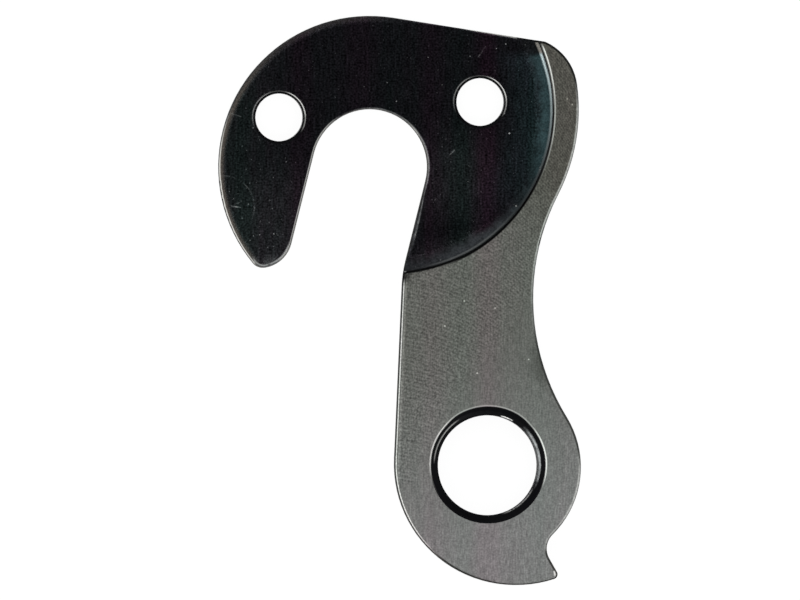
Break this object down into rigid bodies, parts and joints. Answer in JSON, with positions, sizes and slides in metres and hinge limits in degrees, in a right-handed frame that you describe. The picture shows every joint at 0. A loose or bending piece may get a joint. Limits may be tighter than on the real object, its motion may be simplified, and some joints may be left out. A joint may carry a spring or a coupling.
{
  "type": "bicycle derailleur hanger",
  "caption": "One-piece milled aluminium rear derailleur hanger: a hook with a recessed seat and open axle slot for the dropout, and a thicker tongue with the tapped hole for the derailleur.",
  "frame": {"origin": "axis of the tapped hole, in the flat outboard face that the derailleur seats on", "axes": "+X towards the rear of the bicycle, +Y up on the bicycle, +Z inboard, towards the wheel; it lies on its outboard face"},
  "size_m": [0.0326, 0.0513, 0.0075],
  "materials": {
    "alloy": "satin milled tongue, dark glossy seat"
  },
  "bodies": {
    "root": {"hanger": "alloy"}
  },
  "joints": []
}
